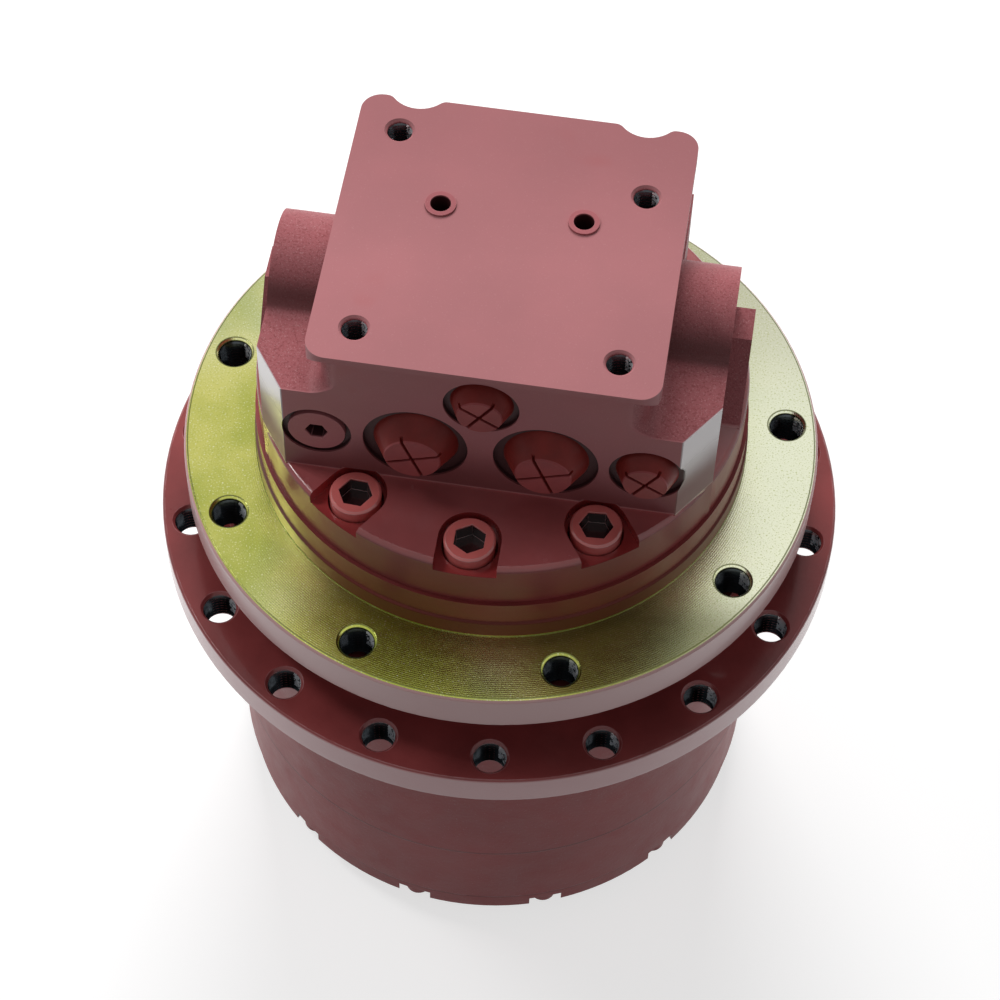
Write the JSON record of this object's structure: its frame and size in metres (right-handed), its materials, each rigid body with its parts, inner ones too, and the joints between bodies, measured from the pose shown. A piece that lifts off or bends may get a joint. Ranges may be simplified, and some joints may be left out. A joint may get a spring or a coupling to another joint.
{
  "type": "excavator final drive",
  "caption": "Track final drive with hydraulic travel motor, two-stage planetary gearbox, frame flange and turning sprocket drum.",
  "frame": {"origin": "centre of the frame flange's mounting face, on the drive axis", "axes": "+Z along the drive axis towards the motor end; the oil ports face -Y"},
  "size_m": [0.295, 0.295, 0.3569],
  "materials": {
    "red_paint": "satin",
    "yellow_zinc": "yellow passivated",
    "painted_plastic": "satin",
    "ground_steel": "ground",
    "hardened_steel": "machined",
    "black_steel": "oxide",
    "cast_iron": "machined",
    "bronze": "machined",
    "friction_lining": "matte",
    "rubber": "matte"
  },
  "bodies": {
    "spindle": {"bearing_inner_lower": "ground_steel", "bearing_inner_upper": "ground_steel", "blind_plug": "red_paint", "brake_plates": "hardened_steel", "brake_spring": "black_steel", "carrier_screws": "black_steel", "cover_screws": "red_paint", "fixed_seal_ring": "ground_steel", "fixed_seal_rubber": "rubber", "front_shaft_bearing_ring": "ground_steel", "large_port_caps": "painted_plastic", "port_sleeves": "red_paint", "rear_cover": "red_paint", "rear_shaft_bearing": "ground_steel", "second_carrier": "cast_iron", "second_planet_bushes": "bronze", "second_planet_pins": "ground_steel", "shaft_seal": "rubber", "small_port_caps": "painted_plastic", "spindle": "yellow_zinc", "spindle_nut": "hardened_steel", "spool_plugs": "red_paint", "spool_springs": "ground_steel", "swash_plate": "hardened_steel", "valve_plate": "bronze"},
    "counterbalance_spool": {"counterbalance_spool": "ground_steel"},
    "brake_piston": {"brake_piston": "hardened_steel"},
    "drum": {"bearing_outer_lower": "ground_steel", "bearing_outer_upper": "ground_steel", "drum": "red_paint", "end_cover": "red_paint", "end_cover_screws": "red_paint", "level_plugs": "red_paint", "ring_gear": "hardened_steel", "thrust_button": "ground_steel", "turning_seal_ring": "ground_steel", "turning_seal_rubber": "rubber"},
    "bearing_rollers": {"bearing_rollers_lower": "ground_steel", "bearing_rollers_upper": "ground_steel"},
    "first_carrier": {"first_carrier": "cast_iron", "first_planet_bushes": "bronze", "first_planet_pins": "ground_steel", "pin_clips": "black_steel", "second_sun": "hardened_steel"},
    "motor": {"cylinder_block": "cast_iron", "first_sun": "hardened_steel", "friction_discs": "friction_lining", "front_shaft_bearing_rollers": "ground_steel", "motor_shaft": "ground_steel", "piston_shoes": "bronze", "pistons": "ground_steel", "retainer_plate": "hardened_steel", "shaft_coupling": "hardened_steel"},
    "second_planet_1": {"second_planet_1": "hardened_steel"},
    "second_planet_2": {"second_planet_2": "hardened_steel"},
    "second_planet_3": {"second_planet_3": "hardened_steel"},
    "second_planet_4": {"second_planet_4": "hardened_steel"},
    "first_planet_1": {"first_planet_1": "hardened_steel"},
    "first_planet_2": {"first_planet_2": "hardened_steel"},
    "first_planet_3": {"first_planet_3": "hardened_steel"}
  },
  "joints": [
    {"name": "drum_spin", "type": "hinge", "parent": "spindle", "child": "drum", "pos_m": [0, 0, 0], "axis": [0, 0, 1], "continuous": true},
    {"name": "roller_orbit", "type": "hinge", "parent": "spindle", "child": "bearing_rollers", "pos_m": [0, 0, 0], "axis": [0, 0, 1], "continuous": true},
    {"name": "first_carrier_spin", "type": "hinge", "parent": "spindle", "child": "first_carrier", "pos_m": [0, 0, 0], "axis": [0, 0, 1], "continuous": true},
    {"name": "motor_spin", "type": "hinge", "parent": "spindle", "child": "motor", "pos_m": [0, 0, 0], "axis": [0, 0, 1], "continuous": true},
    {"name": "second_planet_1_spin", "type": "hinge", "parent": "spindle", "child": "second_planet_1", "pos_m": [0.063, 0, -0.149], "axis": [0, 0, 1], "continuous": true},
    {"name": "second_planet_2_spin", "type": "hinge", "parent": "spindle", "child": "second_planet_2", "pos_m": [0, 0.063, -0.149], "axis": [0, 0, 1], "continuous": true},
    {"name": "second_planet_3_spin", "type": "hinge", "parent": "spindle", "child": "second_planet_3", "pos_m": [-0.063, 0, -0.149], "axis": [0, 0, 1], "continuous": true},
    {"name": "second_planet_4_spin", "type": "hinge", "parent": "spindle", "child": "second_planet_4", "pos_m": [0, -0.063, -0.149], "axis": [0, 0, 1], "continuous": true},
    {"name": "first_planet_1_spin", "type": "hinge", "parent": "first_carrier", "child": "first_planet_1", "pos_m": [0, 0.0585, -0.1915], "axis": [0, 0, 1], "continuous": true},
    {"name": "first_planet_2_spin", "type": "hinge", "parent": "first_carrier", "child": "first_planet_2", "pos_m": [-0.05066, -0.02925, -0.1915], "axis": [0, 0, 1], "continuous": true},
    {"name": "first_planet_3_spin", "type": "hinge", "parent": "first_carrier", "child": "first_planet_3", "pos_m": [0.05066, -0.02925, -0.1915], "axis": [0, 0, 1], "continuous": true},
    {"name": "brake_release", "type": "slide", "parent": "spindle", "child": "brake_piston", "axis": [0, 0, 1], "range_m": [0, 0.0015], "stiffness_N_per_m": 60000, "springref_m": -0.001, "deforming": ["brake_spring"]},
    {"name": "spool_shift", "type": "slide", "parent": "spindle", "child": "counterbalance_spool", "axis": [1, 0, 0], "range_m": [-0.007, 0.007], "stiffness_N_per_m": 4000}
  ],
  "couplings": [
    {"joint": "roller_orbit", "follows": "drum_spin", "ratio": 0.52235},
    {"joint": "first_carrier_spin", "follows": "drum_spin", "ratio": -3.2},
    {"joint": "motor_spin", "follows": "drum_spin", "ratio": -22.4},
    {"joint": "second_planet_1_spin", "follows": "drum_spin", "ratio": 2.9091},
    {"joint": "second_planet_2_spin", "follows": "drum_spin", "ratio": 2.9091},
    {"joint": "second_planet_3_spin", "follows": "drum_spin", "ratio": 2.9091},
    {"joint": "second_planet_4_spin", "follows": "drum_spin", "ratio": 2.9091},
    {"joint": "first_planet_1_spin", "follows": "drum_spin", "ratio": 10.752},
    {"joint": "first_planet_2_spin", "follows": "drum_spin", "ratio": 10.752},
    {"joint": "first_planet_3_spin", "follows": "drum_spin", "ratio": 10.752}
  ]
}
